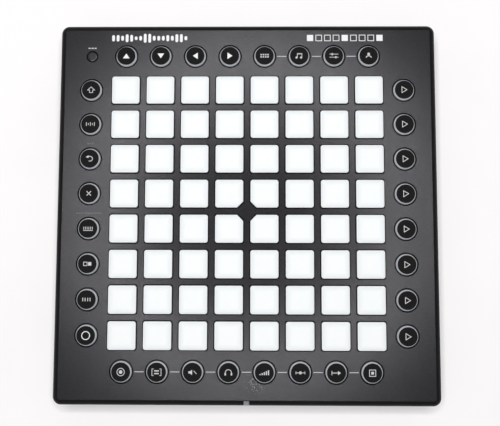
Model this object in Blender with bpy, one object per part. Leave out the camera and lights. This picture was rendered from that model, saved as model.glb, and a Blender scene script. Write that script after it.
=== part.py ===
"""Square grid controller for music: 64 pads and 33 buttons in a flat two-shell case.

The frame: metres, +Z up, origin on the table under the middle of the case. +X is the
player's right and +Y is the rear, where the sockets are. Lengths below are millimetres.
"""

import math

import bmesh
import bpy
from mathutils import Vector

MM = 0.001
CLEAR = 0.3
STACK_GAP = 0.1

# The grid that every key sits on. Row 0 is the rear one, and column 0 the left one.
PITCH = 24.3
GRID = 8
RING = 4.5 * PITCH

# Case.
CASE_HALF = 132.0
CORNER_R = 5.5
CORNER_STEPS = 3
WALL = 2.4
FACE_TOP = 21.5
FACE_UNDER = 19.2
BEVEL_WIDTH = 3.45
BEVEL_DEPTH = 2.5
BEVEL_BREAK = 0.43
SPLIT_Z = 15.0
FLOOR_UNDER = 1.5
FLOOR_TOP = 3.3
FOOT_TAPER = 1.5
LIP_TOP = 16.6
LIP_WALL = 1.2

# Board and sensor film.
BOARD_UNDER = 14.3
BOARD_TOP = 15.9
BOARD_HALF = 118.5
LED_HALF = 0.8
LED_TOP = 16.3
SENSOR_UNDER = 16.4
SENSOR_TOP = 16.6
SENSOR_HALF = 94.6
CLICK_SWITCH_HALF = 2.6
CLICK_SWITCH_TOP = 17.0

# Keys. Pad and button tops share one plane above the face.
KEY_TOP = 23.0
PAD_HALF = 9.7
PAD_CORNER = 1.3
PAD_CLIP = 4.2
PAD_UNDER = 17.4
PAD_BEVEL = 0.4
PAD_GAP = 0.45
SKIRT = 1.2
SKIRT_TOP = 18.8
STRIP_HALF = 5.0
STRIP_Z = (17.6, 18.4)
BUTTON_BASE_R = 8.15
BUTTON_R = 7.3
BUTTON_CAP_R = 6.1
BUTTON_UNDER = 17.7
BUTTON_SHOULDER = 21.6
BUTTON_HOLE_R = 7.9
SETUP_BASE_R = 4.35
SETUP_R = 3.5
SETUP_HOLE_R = 4.1
SETUP_UNDER = 17.5
SETUP_TOP = 21.9
SETUP_EDGE = 0.3
ROUND_SIDES = 12

# Case screws, from below, and the posts that hold the board.
SCREW_OUT = 122.5
UPPER_BOSS_R = 3.5
UPPER_BOSS_FOOT = 9.0
PILOT_R = 1.5
PILOT_TOP = 17.5
LOWER_BOSS_R = 4.2
LOWER_BOSS_TOP = 8.7
HEAD_RECESS_R = 3.3
HEAD_SEAT = 5.0
SCREW_HEAD_R = 2.8
SCREW_HEAD = 1.8
SCREW_R = 1.2
SCREW_TIP = 16.5
SCREW_SIDES = 10
POST_OUT = 99.5
POST_R = 2.2
CENTRE_POST_R = 3.5

# Feet.
FOOT_OUT = 106.0
FOOT_R = 8.0
FOOT_SEAT = 2.2
FOOT_EDGE = 0.6
FOOT_SIDES = 16

# Front light.
LIGHT_HALF = 1.9
LIGHT_REAR = -118.9
LIGHT_GAP = 0.15

# Rear wall, with each socket's middle along X.
SOCKET_FACE = 129.6
SOCKET_TOP = 14.2
SOCKET_SEAT = 126.9
USB_X = 29.0
USB_WIDTH = 12.0
USB_DEPTH = 16.0
USB_UNDER = 3.7
USB_MOUTH_HALF = 4.25
USB_MOUTH_CUT = 1.6
USB_MOUTH_DEPTH = 9.0
DC_X = 55.0
DC_Z = 8.9
DC_NOSE_R = 4.4
MIDI_IN_X = -18.0
MIDI_OUT_X = -38.0
MIDI_Z = 9.6
MIDI_NOSE_R = 3.0
SWITCH_X = 80.0
SWITCH_HALF = 6.0
SWITCH_DEPTH = 6.0
SWITCH_UNDER = 7.4
LEVER_Z = 10.8
LEVER_WIDTH = 2.6
LEVER_REACH = 2.85
LOCK_X = 104.0
LOCK_HALF = 3.5
LOCK_Z = (7.4, 10.4)


# ---------------------------------------------------------------- outlines


def circle(radius, z, sides, centre=(0.0, 0.0)):
    """A circle's corners, anticlockwise from above, starting half a side off +X."""
    turn = 2 * math.pi / sides
    return [
        (
            centre[0] + radius * math.cos((i + 0.5) * turn),
            centre[1] + radius * math.sin((i + 0.5) * turn),
            z,
        )
        for i in range(sides)
    ]


def rounded_square(half, radius, z, steps=CORNER_STEPS):
    """A square with round corners, anticlockwise from above."""
    points = []
    for quarter in range(4):
        mid = math.radians(90 * quarter + 45)
        corner_x = math.copysign(half - radius, math.cos(mid))
        corner_y = math.copysign(half - radius, math.sin(mid))
        for i in range(steps + 1):
            angle = math.radians(90 * quarter + 90 * i / steps)
            points.append(
                (
                    corner_x + radius * math.cos(angle),
                    corner_y + radius * math.sin(angle),
                    z,
                )
            )
    return points


def clipped_square(half, clips, z, centre):
    """A square with its corners cut off straight, starting at the one towards +X+Y."""
    points = []
    for (x, y), clip in zip(((1, 1), (-1, 1), (-1, -1), (1, -1)), clips):
        on_side = (centre[0] + x * half, centre[1] + y * (half - clip), z)
        on_end = (centre[0] + x * (half - clip), centre[1] + y * half, z)
        points += [on_side, on_end] if x * y > 0 else [on_end, on_side]
    return points


def around(middle, half):
    """A span's two ends."""
    return middle - half, middle + half


def box(x_span, y_span, z_span):
    """A box as its lower and upper outlines."""
    (x0, x1), (y0, y1) = x_span, y_span
    return [[(x0, y0, z), (x1, y0, z), (x1, y1, z), (x0, y1, z)] for z in z_span]


def barrel(radius, z0, z1, sides, centre=(0.0, 0.0)):
    """A plain upright cylinder as its two outlines."""
    return [circle(radius, z, sides, centre) for z in (z0, z1)]


# ---------------------------------------------------------------- mesh building


def skin(mesh, loops):
    """Closes one body over a chain of outlines, its wall on the outlines' right-hand side."""
    rows = [[mesh.verts.new(Vector(p) * MM) for p in loop] for loop in loops]
    mesh.faces.new(reversed(rows[0]))
    for lower, upper in zip(rows, rows[1:]):
        for i in range(len(lower)):
            j = (i + 1) % len(lower)
            mesh.faces.new((lower[i], lower[j], upper[j], upper[i]))
    mesh.faces.new(rows[-1])


def solid(*chains):
    """A mesh with one closed body for each chain of outlines."""
    mesh = bmesh.new()
    for loops in chains:
        skin(mesh, loops)
    return mesh


def lying(mesh, y):
    """Turns a mesh built along +Z to run along +Y from y, its own -Y becoming +Z."""
    for vert in mesh.verts:
        x, down, along = vert.co
        vert.co = (x, y * MM + along, -down)
    bmesh.ops.recalc_face_normals(mesh, faces=mesh.faces)
    return mesh


def surface(name, colour, roughness, metallic=0.0):
    """A Principled material."""
    made = bpy.data.materials.new(name)
    made.use_nodes = True
    shader = made.node_tree.nodes["Principled BSDF"]
    shader.inputs["Base Color"].default_value = (*colour, 1.0)
    shader.inputs["Roughness"].default_value = roughness
    shader.inputs["Metallic"].default_value = metallic
    return made


def place(name, mesh, finish, at=(0.0, 0.0, 0.0), parent=None):
    """Makes the named object from a mesh in the case's frame, with its origin at a point."""
    origin = Vector(at) * MM
    for vert in mesh.verts:
        vert.co -= origin
    data = bpy.data.meshes.new(name)
    mesh.to_mesh(data)
    mesh.free()
    data.shade_smooth()
    data.set_sharp_from_angle(angle=math.radians(35))
    made = bpy.data.objects.new(name, data)
    bpy.context.scene.collection.objects.link(made)
    made.location = origin
    made.parent = parent
    if finish is not None:
        data.materials.append(finish)
    return made


def combine(target, name, mesh, operation):
    """Joins or cuts target with a hidden shape, by an exact Boolean."""
    shape = place(name, mesh, None)
    shape.parent = target.parent
    shape.hide_render = True
    shape.display_type = "WIRE"
    step = target.modifiers.new(name, "BOOLEAN")
    step.operation = operation
    step.object = shape
    step.solver = "EXACT"


# ---------------------------------------------------------------- places


def pad_place(row, column):
    """The middle of a pad."""
    last = (GRID - 1) / 2
    return (column - last) * PITCH, (last - row) * PITCH


def pad_clips(row, column):
    """A pad's corner cuts. The four middle pads lose the corner that faces the middle."""
    x, y = pad_place(row, column)
    middle = abs(x) < PITCH and abs(y) < PITCH
    return [
        PAD_CLIP if middle and x * sx < 0 and y * sy < 0 else PAD_CORNER
        for sx, sy in ((1, 1), (-1, 1), (-1, -1), (1, -1))
    ]


def all_pads():
    """Row and column of every pad."""
    return [(row, column) for row in range(GRID) for column in range(GRID)]


def button_places():
    """Name and middle of each round button, in the four rows around the pads."""
    places = {}
    for i in range(GRID):
        along = pad_place(0, i)[0]
        places[f"top_button_{i + 1}"] = (along, RING)
        places[f"left_button_{i + 1}"] = (-RING, -along)
        places[f"right_button_{i + 1}"] = (RING, -along)
        places[f"bottom_button_{i + 1}"] = (along, -RING)
    return places


def corners(out):
    """The four points of a square, by the name of its corner."""
    return {
        f"{end}_{side}": (x * out, y * out)
        for end, y in (("front", -1), ("rear", 1))
        for side, x in (("left", -1), ("right", 1))
    }


def post_places():
    """The posts around the pads that hold the board from above and below."""
    steps = (-1, 0, 1)
    return [(x * POST_OUT, y * POST_OUT) for x in steps for y in steps if x or y]


# ---------------------------------------------------------------- the two shells


def upper_shell(finish, parent):
    """Face with its key holes, bevel and wall, with screw bosses and board posts below."""
    inner = CASE_HALF - WALL
    foot = SPLIT_Z + STACK_GAP
    part_in = BEVEL_BREAK * BEVEL_WIDTH
    loops = [
        rounded_square(inner, CORNER_R - WALL, FACE_UNDER),
        rounded_square(inner, CORNER_R - WALL, foot),
        rounded_square(CASE_HALF, CORNER_R, foot),
        rounded_square(CASE_HALF, CORNER_R, FACE_TOP - BEVEL_DEPTH),
        rounded_square(CASE_HALF - part_in, CORNER_R - part_in, FACE_TOP - 1.0),
        rounded_square(CASE_HALF - BEVEL_WIDTH, CORNER_R - BEVEL_WIDTH, FACE_TOP),
    ]
    shell = place("top_case", solid(loops), finish, parent=parent)
    root = FACE_UNDER + 0.6
    board = BOARD_TOP + STACK_GAP
    columns = [
        barrel(UPPER_BOSS_R, UPPER_BOSS_FOOT, root, SCREW_SIDES, xy)
        for xy in corners(SCREW_OUT).values()
    ]
    columns += [barrel(POST_R, board, root, SCREW_SIDES, xy) for xy in post_places()]
    columns.append(barrel(CENTRE_POST_R, board, root, SCREW_SIDES))
    combine(shell, "upper_columns", solid(*columns), "UNION")
    combine(shell, "upper_cuts", solid(*upper_cuts()), "DIFFERENCE")


def upper_cuts():
    """Pad holes, button holes, screw pilots and the notch for the front light."""
    low, high = FACE_UNDER - 1, FACE_TOP + 1
    cuts = []
    for row, column in all_pads():
        clips, middle = pad_clips(row, column), pad_place(row, column)
        half = PAD_HALF + PAD_GAP
        cuts.append([clipped_square(half, clips, z, middle) for z in (low, high)])
    for xy in button_places().values():
        cuts.append(barrel(BUTTON_HOLE_R, low, high, ROUND_SIDES, xy))
    cuts.append(barrel(SETUP_HOLE_R, low, high, ROUND_SIDES, (-RING, RING)))
    for xy in corners(SCREW_OUT).values():
        cuts.append(barrel(PILOT_R, UPPER_BOSS_FOOT - 1, PILOT_TOP, SCREW_SIDES, xy))
    rear = BEVEL_WIDTH - CASE_HALF + 0.1
    notch = (-CASE_HALF - 1, rear), (SPLIT_Z - 1, high)
    cuts.append(box(around(0, LIGHT_HALF + LIGHT_GAP), *notch))
    return cuts


def lower_shell(finish, parent):
    """The tray: tapered outer wall, locating lip, screw bosses, board posts and recesses."""
    rim = SPLIT_Z - STACK_GAP
    inner_r = CORNER_R - WALL
    under = CASE_HALF - FOOT_TAPER
    lip_out = CASE_HALF - WALL - CLEAR
    lip_in = lip_out - LIP_WALL
    loops = [
        rounded_square(under - 1.6, CORNER_R - 1, FLOOR_UNDER),
        rounded_square(under, CORNER_R, FLOOR_UNDER + 1.6),
        rounded_square(CASE_HALF, CORNER_R, rim),
        rounded_square(lip_out, inner_r, rim),
        rounded_square(lip_out, inner_r, LIP_TOP),
        rounded_square(lip_in, inner_r - 1, LIP_TOP),
        rounded_square(lip_in, inner_r - 1, FLOOR_TOP),
    ]
    shell = place("bottom_case", solid(loops), finish, parent=parent)
    root = FLOOR_TOP - 0.6
    board = BOARD_UNDER - STACK_GAP
    columns = [
        barrel(LOWER_BOSS_R, root, LOWER_BOSS_TOP, SCREW_SIDES, xy)
        for xy in corners(SCREW_OUT).values()
    ]
    columns += [barrel(POST_R, root, board, SCREW_SIDES, xy) for xy in post_places()]
    columns.append(barrel(CENTRE_POST_R, root, board, SCREW_SIDES))
    combine(shell, "lower_columns", solid(*columns), "UNION")
    combine(shell, "lower_cuts", solid(*lower_cuts()), "DIFFERENCE")
    combine(shell, "rear_cuts", rear_cuts(), "DIFFERENCE")


def lower_cuts():
    """Screw holes with their head recesses, foot recesses and the front light's notch."""
    cuts = []
    for xy in corners(SCREW_OUT).values():
        cuts.append(
            [
                circle(HEAD_RECESS_R, FLOOR_UNDER - 1, SCREW_SIDES, xy),
                circle(HEAD_RECESS_R, HEAD_SEAT, SCREW_SIDES, xy),
                circle(SCREW_R + 0.4, HEAD_SEAT, SCREW_SIDES, xy),
                circle(SCREW_R + 0.4, LOWER_BOSS_TOP + 1, SCREW_SIDES, xy),
            ]
        )
    for xy in corners(FOOT_OUT).values():
        cuts.append(barrel(FOOT_R + CLEAR, FLOOR_UNDER - 1, FOOT_SEAT, FOOT_SIDES, xy))
    notch = (1 - CASE_HALF, 5 - CASE_HALF), (SPLIT_Z - CLEAR, LIP_TOP + 1)
    cuts.append(box(around(0, LIGHT_HALF + CLEAR), *notch))
    return cuts


def rear_cuts():
    """Holes for the sockets, the switch lever and the lock slot, through the rear wall."""
    depth = (CASE_HALF - WALL - 6, CASE_HALF + 1)
    usb = around(USB_X, USB_WIDTH / 2 + CLEAR)
    lever = around(SWITCH_X, LEVER_REACH + 0.6), depth, around(LEVER_Z, 1.8)
    rounds = (
        (DC_X, DC_Z, DC_NOSE_R),
        (MIDI_IN_X, MIDI_Z, MIDI_NOSE_R),
        (MIDI_OUT_X, MIDI_Z, MIDI_NOSE_R),
    )
    cuts = solid(
        *[
            barrel(radius + CLEAR, 0, depth[1] - depth[0], ROUND_SIDES, (x, -z))
            for x, z, radius in rounds
        ]
    )
    lying(cuts, depth[0])
    skin(cuts, box(usb, depth, (USB_UNDER - CLEAR, SOCKET_TOP + CLEAR)))
    skin(cuts, box(*lever))
    skin(cuts, box(around(LOCK_X, LOCK_HALF), depth, LOCK_Z))
    return cuts


# ---------------------------------------------------------------- keys


def pad_row(row, finish, parent):
    """One row of the silicone pad mat: eight flared pads on a thin strip below the face."""
    chains = []
    for column in range(GRID):
        middle = pad_place(row, column)
        clips = pad_clips(row, column)
        wide = [clip + SKIRT / 2 for clip in clips]
        narrow = [clip - PAD_BEVEL / 2 for clip in clips]
        chains.append(
            [
                clipped_square(PAD_HALF + SKIRT, wide, PAD_UNDER, middle),
                clipped_square(PAD_HALF, clips, SKIRT_TOP, middle),
                clipped_square(PAD_HALF, clips, KEY_TOP - PAD_BEVEL, middle),
                clipped_square(PAD_HALF - PAD_BEVEL, narrow, KEY_TOP, middle),
            ]
        )
    y = pad_place(row, 0)[1]
    reach = pad_place(0, GRID - 1)[0] + PAD_HALF / 2
    strip = box(around(0, reach), around(y, STRIP_HALF), STRIP_Z)
    made = place(f"pad_row_{row + 1}", solid(strip), finish, (0, y, PAD_UNDER), parent)
    combine(made, f"pads_of_row_{row + 1}", solid(*chains), "UNION")


def round_button(name, middle, finish, parent):
    """A silicone button: its base is wider than its hole, and it ends in a cone up to its cap."""
    chain = [
        circle(BUTTON_BASE_R, BUTTON_UNDER, ROUND_SIDES, middle),
        circle(BUTTON_R, BUTTON_SHOULDER, ROUND_SIDES, middle),
        circle(BUTTON_CAP_R, KEY_TOP, ROUND_SIDES, middle),
    ]
    place(name, solid(chain), finish, (*middle, BUTTON_UNDER), parent)


def setup_button(finish, parent):
    """The small hard button in the rear left corner, almost level with the face."""
    middle = (-RING, RING)
    chain = [
        circle(SETUP_BASE_R, SETUP_UNDER, ROUND_SIDES, middle),
        circle(SETUP_R, SETUP_TOP - SETUP_EDGE, ROUND_SIDES, middle),
        circle(SETUP_R - SETUP_EDGE, SETUP_TOP, ROUND_SIDES, middle),
    ]
    place("setup_button", solid(chain), finish, (*middle, SETUP_UNDER), parent)


# ---------------------------------------------------------------- flat parts inside


def main_board(finish, parent):
    """The circuit board with its soldered parts: an LED under each key, chips, click switch."""
    outline = [rounded_square(BOARD_HALF, 2.0, z, 1) for z in (BOARD_UNDER, BOARD_TOP)]
    board = place("main_board", solid(outline), finish, parent=parent)
    sunk = BOARD_TOP - 0.5
    places = [pad_place(row, column) for row, column in all_pads()]
    places += list(button_places().values())
    places.append((0, 1 - BOARD_HALF))
    parts = [
        box(around(x, LED_HALF), around(y, LED_HALF), (sunk, LED_TOP)) for x, y in places
    ]
    click = around(-RING, CLICK_SWITCH_HALF), around(RING, CLICK_SWITCH_HALF)
    parts.append(box(*click, (sunk, CLICK_SWITCH_TOP)))
    chip = (BOARD_UNDER - 1.4, BOARD_UNDER + 0.5)
    parts.append(box(around(-60, 7), around(85, 7), chip))
    for x in (-85, -30, 25, 75):
        parts.append(box(around(x, 4), around(60, 4), chip))
    combine(board, "soldered_parts", solid(*parts), "UNION")


def sensor_film(finish, parent):
    """The pressure-sensing film under the pads, open around the centre post."""
    outline = [
        rounded_square(SENSOR_HALF, 2.0, z, 1) for z in (SENSOR_UNDER, SENSOR_TOP)
    ]
    film = place("pressure_sensor_film", solid(outline), finish, parent=parent)
    reach = SENSOR_UNDER - 1, SENSOR_TOP + 1
    hole = barrel(CENTRE_POST_R + 2 * CLEAR, *reach, SCREW_SIDES)
    combine(film, "film_hole", solid(hole), "DIFFERENCE")


def light_guide(finish, parent):
    """The clear bar that carries the status LED's light to the front bevel."""
    front = -CASE_HALF
    step = front + BEVEL_WIDTH - LIGHT_GAP
    profile = [
        (front, SPLIT_Z + STACK_GAP),
        (step, SPLIT_Z + STACK_GAP),
        (step, LIP_TOP + CLEAR),
        (LIGHT_REAR, LIP_TOP + CLEAR),
        (LIGHT_REAR, FACE_UNDER - CLEAR),
        (step, FACE_UNDER - CLEAR),
        (step, FACE_TOP - LIGHT_GAP),
        (front + BEVEL_BREAK * BEVEL_WIDTH, FACE_TOP - 1.0),
        (front, FACE_TOP - BEVEL_DEPTH),
    ]
    mesh = solid([[(x, y, z) for y, z in profile] for x in around(0, LIGHT_HALF)])
    bmesh.ops.recalc_face_normals(mesh, faces=mesh.faces)
    place("status_light_guide", mesh, finish, parent=parent)


# ---------------------------------------------------------------- rear sockets


def usb_socket(finish, parent):
    """A square USB socket: shell, blind mouth with cut upper corners, and its tongue."""
    spans = around(USB_X, USB_WIDTH / 2), (SOCKET_FACE - USB_DEPTH, SOCKET_FACE)
    body = box(*spans, (USB_UNDER, SOCKET_TOP))
    socket = place("usb_socket", solid(body), finish, parent=parent)
    left, right = around(USB_X, USB_MOUTH_HALF)
    low, high = USB_UNDER + 1.4, SOCKET_TOP - 1.3
    mouth = [
        (left, low),
        (right, low),
        (right, high - USB_MOUTH_CUT),
        (right - USB_MOUTH_CUT, high),
        (left + USB_MOUTH_CUT, high),
        (left, high - USB_MOUTH_CUT),
    ]
    inside = SOCKET_FACE - USB_MOUTH_DEPTH
    opening = solid([[(x, -z, y) for x, z in mouth] for y in (0, USB_MOUTH_DEPTH + 1)])
    combine(socket, "usb_mouth", lying(opening, inside), "DIFFERENCE")
    tongue = (inside - 1, SOCKET_FACE - 1.6), around((low + high) / 2, 1.6)
    combine(socket, "usb_tongue", solid(box(around(USB_X, 2.8), *tongue)), "UNION")


def round_socket(name, middle, nose_r, bore_r, half, depth, finish, parent):
    """A socket block behind the wall with a round nose through it, bored from the rear."""
    x, z = middle
    rear = SOCKET_FACE + 0.4
    heights = z - half, min(z + half, SOCKET_TOP)
    block = box(around(x, half), (rear - depth, SOCKET_SEAT), heights)
    socket = place(name, solid(block), finish, parent=parent)
    nose = barrel(nose_r, 0, rear - SOCKET_SEAT + 1, ROUND_SIDES, (x, -z))
    combine(socket, f"{name}_nose", lying(solid(nose), SOCKET_SEAT - 1), "UNION")
    reach = depth - 2
    bore = barrel(bore_r, 0, reach + 1, ROUND_SIDES, (x, -z))
    combine(socket, f"{name}_bore", lying(solid(bore), rear - reach), "DIFFERENCE")
    return socket


def power_socket(finish, parent):
    """The round low-voltage socket, with its centre pin."""
    size = DC_NOSE_R, 3.2, 4.9, 14.0
    socket = round_socket("dc_power_socket", (DC_X, DC_Z), *size, finish, parent)
    pin = lying(solid(barrel(1.0, 0, 12.0, SCREW_SIDES, (DC_X, -DC_Z))), 117.0)
    combine(socket, "dc_pin", pin, "UNION")


def power_switch(finish, parent):
    """A slide switch: the slotted body behind the wall, and the lever in its slot."""
    rear = SOCKET_SEAT
    spans = around(SWITCH_X, SWITCH_HALF), (rear - SWITCH_DEPTH, rear)
    block = box(*spans, (SWITCH_UNDER, SOCKET_TOP))
    body = place("power_switch_body", solid(block), finish, parent=parent)
    slot = around(SWITCH_X, LEVER_REACH), (rear - 3.6, rear + 1), around(LEVER_Z, 1.4)
    combine(body, "switch_slot", solid(box(*slot)), "DIFFERENCE")
    left = SWITCH_X - LEVER_REACH + CLEAR
    reach = (rear - 3.3, SOCKET_FACE + 0.6), around(LEVER_Z, 1.1)
    lever = solid(box((left, left + LEVER_WIDTH), *reach))
    at = (left + LEVER_WIDTH / 2, rear, LEVER_Z)
    place("power_switch_lever", lever, finish, at, parent)


# ---------------------------------------------------------------- feet and screws


def feet(finish, parent):
    """Four round feet glued into shallow recesses."""
    for corner, xy in corners(FOOT_OUT).items():
        chain = [
            circle(FOOT_R - FOOT_EDGE, 0, FOOT_SIDES, xy),
            circle(FOOT_R, FOOT_EDGE, FOOT_SIDES, xy),
            circle(FOOT_R, FOOT_SEAT - STACK_GAP, FOOT_SIDES, xy),
        ]
        place(f"rubber_foot_{corner}", solid(chain), finish, (*xy, 0), parent)


def case_screws(finish, parent):
    """Four screws driven up from below: flat head, then shaft."""
    seat = HEAD_SEAT - STACK_GAP
    for corner, xy in corners(SCREW_OUT).items():
        chain = [
            circle(SCREW_HEAD_R, seat - SCREW_HEAD, SCREW_SIDES, xy),
            circle(SCREW_HEAD_R, seat, SCREW_SIDES, xy),
            circle(SCREW_R, seat, SCREW_SIDES, xy),
            circle(SCREW_R, SCREW_TIP, SCREW_SIDES, xy),
        ]
        place(f"case_screw_{corner}", solid(chain), finish, (*xy, seat), parent)


# ---------------------------------------------------------------- assembly


def build():
    """Makes every part and hangs it from one empty at the origin."""
    for old in list(bpy.data.objects):
        bpy.data.objects.remove(old)
    root = bpy.data.objects.new("controller", None)
    bpy.context.scene.collection.objects.link(root)

    shell = surface("shell", (0.045, 0.045, 0.048), 0.5)
    silicone = surface("white_silicone", (0.86, 0.88, 0.88), 0.5)
    black = surface("black_plastic", (0.015, 0.015, 0.016), 0.45)
    steel = surface("steel", (0.55, 0.56, 0.58), 0.3, 1.0)

    upper_shell(shell, root)
    lower_shell(surface("lower_shell", (0.02, 0.02, 0.021), 0.6), root)
    for row in range(GRID):
        pad_row(row, silicone, root)
    key = surface("button_black", (0.02, 0.02, 0.02), 0.5)
    for name, middle in button_places().items():
        round_button(name, middle, key, root)
    setup_button(shell, root)
    main_board(surface("circuit_board", (0.02, 0.09, 0.04), 0.5), root)
    sensor_film(surface("sensor_film", (0.7, 0.6, 0.35), 0.3), root)
    light_guide(surface("light_guide", (0.7, 0.72, 0.75), 0.15), root)
    usb_socket(steel, root)
    power_socket(black, root)
    midi = MIDI_NOSE_R, 1.85, 3.6, 13.0
    round_socket("midi_in_socket", (MIDI_IN_X, MIDI_Z), *midi, black, root)
    round_socket("midi_out_socket", (MIDI_OUT_X, MIDI_Z), *midi, black, root)
    power_switch(black, root)
    feet(surface("rubber", (0.03, 0.03, 0.03), 0.9), root)
    case_screws(steel, root)


build()
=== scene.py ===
import math

import bmesh
import bpy
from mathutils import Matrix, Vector


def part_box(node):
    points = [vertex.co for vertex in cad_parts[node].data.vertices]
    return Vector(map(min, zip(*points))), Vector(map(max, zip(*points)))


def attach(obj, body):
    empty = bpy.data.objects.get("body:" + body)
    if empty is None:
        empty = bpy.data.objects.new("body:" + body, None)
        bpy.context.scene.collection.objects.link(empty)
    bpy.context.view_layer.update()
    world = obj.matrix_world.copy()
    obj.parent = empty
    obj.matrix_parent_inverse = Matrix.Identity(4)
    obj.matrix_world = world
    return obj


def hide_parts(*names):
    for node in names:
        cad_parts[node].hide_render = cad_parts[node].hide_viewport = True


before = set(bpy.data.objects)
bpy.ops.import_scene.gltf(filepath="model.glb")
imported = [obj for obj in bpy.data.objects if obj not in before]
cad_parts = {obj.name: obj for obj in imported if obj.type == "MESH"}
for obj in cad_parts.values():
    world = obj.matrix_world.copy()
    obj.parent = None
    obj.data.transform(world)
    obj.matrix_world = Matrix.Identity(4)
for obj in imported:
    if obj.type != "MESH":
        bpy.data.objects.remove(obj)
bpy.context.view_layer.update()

# Lengths below are millimetres, and everything is scaled to metres as its mesh is made.
MM = 0.001

# A key's outline has SIDE steps along each side of its cell, and each of its round corners has
# 2 * ARC of them. The whole face is a block of CELLS x CELLS cells, with 2 * EDGE_ARC steps
# around each corner of the case.
SIDE = 12
ARC = 3
CELLS = 10
EDGE_ARC = 6


def node_span(name):
    """A CAD node's lowest and highest corner, in millimetres."""
    low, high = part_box(name)
    return Vector(low) / MM, Vector(high) / MM


def middle(name):
    """The middle of a CAD node's box, in millimetres."""
    low, high = node_span(name)
    return (low + high) / 2


# -------------------- sizes read from the frame

CASE_HIGH = node_span("top_case")[1]
TRAY_LOW, TRAY_HIGH = node_span("bottom_case")
CASE_HALF = CASE_HIGH.x
FACE_TOP = CASE_HIGH.z
KEY_TOP = node_span("pad_row_1")[1].z
COLUMNS = [middle(f"top_button_{i + 1}").x for i in range(8)]
ROWS = [middle(f"pad_row_{i + 1}").y for i in range(8)]
PITCH = COLUMNS[1] - COLUMNS[0]
RING = middle("top_button_1").y

# Details finer than the CAD solids. CUT_GROWTH keeps the gap even along a pad's cut corner.
FACE_UNDER = FACE_TOP - 2.3
BEVEL_WIDTH = 3.45
BEVEL_DEPTH = 2.5
BEVEL_BREAK = 0.43
BREAK_DEPTH = 1.0
CORNER_R = 5.5
WALL = 2.4
SPLIT_Z = 15.0
SEAM = 0.1
PAD_HALF = 9.7
PAD_R = 1.7
PAD_CUT = 4.2
CUT_GROWTH = 0.586
PAD_GAP = 0.5
BUTTON_R = 7.3
CAP_R = 6.5
BUTTON_GAP = 0.8
SETUP_R = 3.5
SETUP_GAP = 0.5
HOLE_EDGE = 0.22

# Inside, underneath and at the rear.
SCREW_OUT = 122.5
UPPER_BOSS_R = 3.5
UPPER_BOSS_FOOT = 9.0
PILOT_R = 1.5
LOWER_BOSS_R = 4.2
LOWER_BOSS_TOP = 8.7
HEAD_HOLE_R = 3.3
HEAD_SEAT = 5.0
SHAFT_HOLE_R = 1.6
POST_OUT = 99.5
POST_R = 2.2
CENTRE_POST_R = 3.5
UPPER_POST_FOOT = 16.0
LOWER_POST_TOP = 14.2
FOOT_OUT = 106.0
FOOT_HOLE_R = 8.3
FOOT_SEAT = 2.2
FLOOR_TOP = 3.3
LOCK_SLOT = (104.0, 8.9)

# Printed marks: the lines between buttons, the wave's and the row's first place, step and count,
# and where the dust lies.
LINE_WIDE = 0.45
LINE_CLEAR = 1.7
WAVE = (-94.6, 3.2, 17)
ROW = (44.2, 6.1, 9)
DUST = (6.0, -116.0)

# A ring of soft lamps above the camera, in metres and watts, and how far it is from even.
LAMPS = 16
LAMP_RING = 0.403
LAMP_HEIGHT = 1.2
LAMP_SHIFT = (-0.010, 0.087)
LAMP_SIZE = (0.15, 0.09)
LAMP_POWER = 0.98
TO_REAR, TO_ENDS, TO_LEFT = 0.15, 0.05, 0.06

# The sky fades between two heights, 1 being overhead. The camera, in metres and degrees.
SKY_HEIGHTS = (0.2, 0.75)
SKY_STRENGTHS = (0.55, 0.08)
CAMERA_PLACE = (0.0073, -0.0353, 0.4585)
CAMERA_TURN = (4.465, 0.659, 0.142)
LENS = 45.72


# -------------------- outlines


def corner_turn(quarter):
    """Directions of travel before and after a corner, anticlockwise from the +X+Y one."""
    a = math.radians(90 * quarter)
    before = Vector((-math.sin(a), math.cos(a)))
    after = Vector((-math.cos(a), -math.sin(a)))
    return before, after


def square_corner(half, quarter):
    """A square's corner, anticlockwise from the +X+Y one."""
    a = math.radians(90 * quarter + 45)
    return Vector((math.copysign(half, math.cos(a)), math.copysign(half, math.sin(a))))


def round_corner(tip, radius, before, after, steps):
    """A quarter circle of steps + 1 points inside a corner."""
    hub = tip - before * radius + after * radius
    turns = [math.radians(90) * k / steps for k in range(steps + 1)]
    return [hub + radius * (before * math.sin(t) - after * math.cos(t)) for t in turns]


def corner_points(half, radius, cut, quarter, arc):
    """A corner's 2 * arc + 1 points: a round of radius, or a straight cut with soft ends."""
    before, after = corner_turn(quarter)
    tip = square_corner(half, quarter)
    if not cut:
        return round_corner(tip, radius, before, after, 2 * arc)
    start, end = tip - before * cut, tip + after * cut
    ease = 0.4
    slant = (end - start).normalized() * ease
    into = [start - before * ease, start - before * ease * 0.3 + slant * 0.3, start + slant]
    out = [end - slant, end - slant * 0.3 + after * ease * 0.3, end + after * ease]
    return into + [(start + end) / 2] + out


def outline(half, radius, cuts=(0, 0, 0, 0), side=SIDE, arc=ARC):
    """A square with treated corners as 4 * side points, each corner's middle at a multiple of side."""
    corners = [corner_points(half, radius, cuts[q], q, arc) for q in range(4)]
    points = []
    for q in range(4):
        points += corners[q][arc:]
        a, b = corners[q][-1], corners[(q + 1) % 4][0]
        straight = side - 2 * arc
        points += [a.lerp(b, k / straight) for k in range(1, straight)]
        points += corners[(q + 1) % 4][:arc]
    return points


def ring_outline(radius, count=4 * SIDE):
    """A circle that starts at the +X+Y corner's direction."""
    turn = 2 * math.pi / count
    return [
        Vector((math.cos(math.pi / 4 + k * turn), math.sin(math.pi / 4 + k * turn))) * radius
        for k in range(count)
    ]


def square_outline(half, side=SIDE):
    """A plain square as 4 * side evenly spaced points."""
    points = []
    for q in range(4):
        a, b = square_corner(half, q), square_corner(half, (q + 1) % 4)
        points += [a.lerp(b, k / side) for k in range(side)]
    return points


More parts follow.
